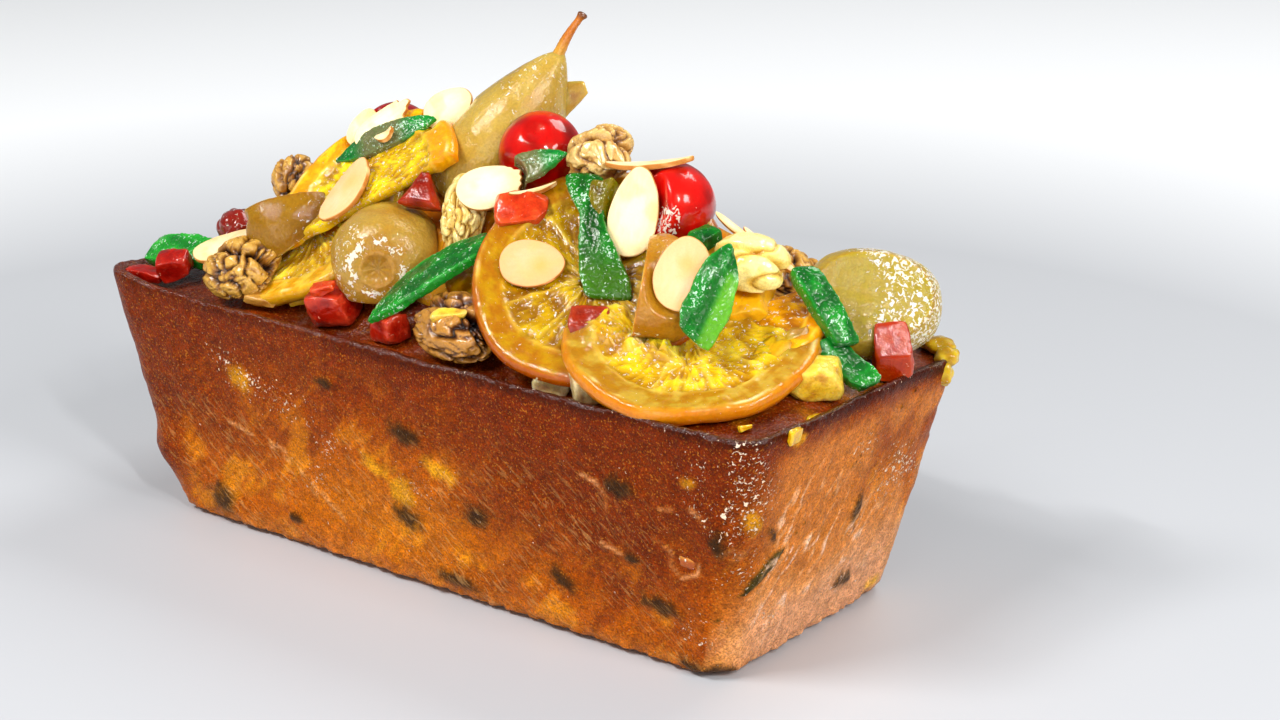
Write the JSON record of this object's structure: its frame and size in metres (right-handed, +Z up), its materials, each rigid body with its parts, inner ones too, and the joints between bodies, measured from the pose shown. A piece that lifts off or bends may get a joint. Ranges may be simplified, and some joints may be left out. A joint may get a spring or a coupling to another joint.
{
  "type": "fruit cake",
  "caption": "Tapered loaf of fruit cake with a dark glazed crust and a domed crown heaped with candied pears, orange slices, cherries, green strips, walnuts and sliced almonds.",
  "frame": {"origin": "middle of the loaf's flat base", "axes": "+X along the loaf's length towards the picture's right end, +Y across it away from the long wall that the picture shows, +Z up"},
  "size_m": [0.2146, 0.0927, 0.1399],
  "materials": {
    "crust": "baked crust, reddish brown, thinly glazed and speckled",
    "almond": "dry sliced almond, pale cream with a brown skin line",
    "walnut": "brown walnut kernel with a thin syrup glaze",
    "cherry": "glossy translucent candied cherry",
    "red_fruit": "glossy red candied fruit",
    "pale_fruit": "glossy pale amber candied fruit",
    "green_fruit": "glossy green candied fruit",
    "orange": "translucent candied orange with a glossy syrup glaze",
    "pear": "translucent amber candied pear with a frosted syrup glaze"
  },
  "bodies": {
    "root": {"cake": "crust", "almond_up_left": "almond", "almond_over_walnut": "almond", "almond_low_middle": "almond", "almond_upright": "almond", "almond_by_fold": "almond", "almond_on_cherry": "almond", "almond_by_pear_neck": "almond", "almond_round_top": "almond", "almond_long_top": "almond", "almond_left_corner": "almond", "almond_back_slope": "almond", "walnut_left": "walnut", "walnut_low_middle": "walnut", "walnut_top": "walnut", "walnut_far_left": "walnut", "walnut_glazed_upright": "walnut", "walnut_glazed_right": "walnut", "walnut_back": "walnut", "cherry_by_pear": "cherry", "cherry_right": "cherry", "cherry_behind_almonds": "cherry", "cherry_wrinkled_left": "cherry", "cherry_back": "cherry", "red_die_corner": "red_fruit", "red_strip_corner": "red_fruit", "red_die_front": "red_fruit", "red_die_under_strip": "red_fruit", "red_die_pointed": "red_fruit", "red_die_middle": "red_fruit", "red_die_low": "red_fruit", "red_die_right_end": "red_fruit", "red_die_back": "red_fruit", "pale_cube_left": "pale_fruit", "pale_cube_right": "pale_fruit", "citron_chunk": "pale_fruit", "green_curl_left": "green_fruit", "green_leaf_top": "green_fruit", "green_leaf_middle": "green_fruit", "green_strip_down": "green_fruit", "green_strip_low_left": "green_fruit", "green_fold": "green_fruit", "green_rod_right": "green_fruit", "green_piece_right_end": "green_fruit", "green_strip_back": "green_fruit", "orange_slice_front": "orange", "orange_slice_low": "orange", "orange_slice_up": "orange", "orange_slice_left": "orange", "orange_slice_middle": "orange", "orange_slice_right": "orange", "orange_slice_back_left": "orange", "orange_slice_back_right": "orange", "pear_with_stem": "pear", "pear_half_left": "pear", "pear_half_right_end": "pear", "pear_wedge_left": "pear", "pear_wedge_middle": "pear", "pear_half_ridge_left": "pear", "pear_half_ridge_middle": "pear"}
  },
  "joints": []
}
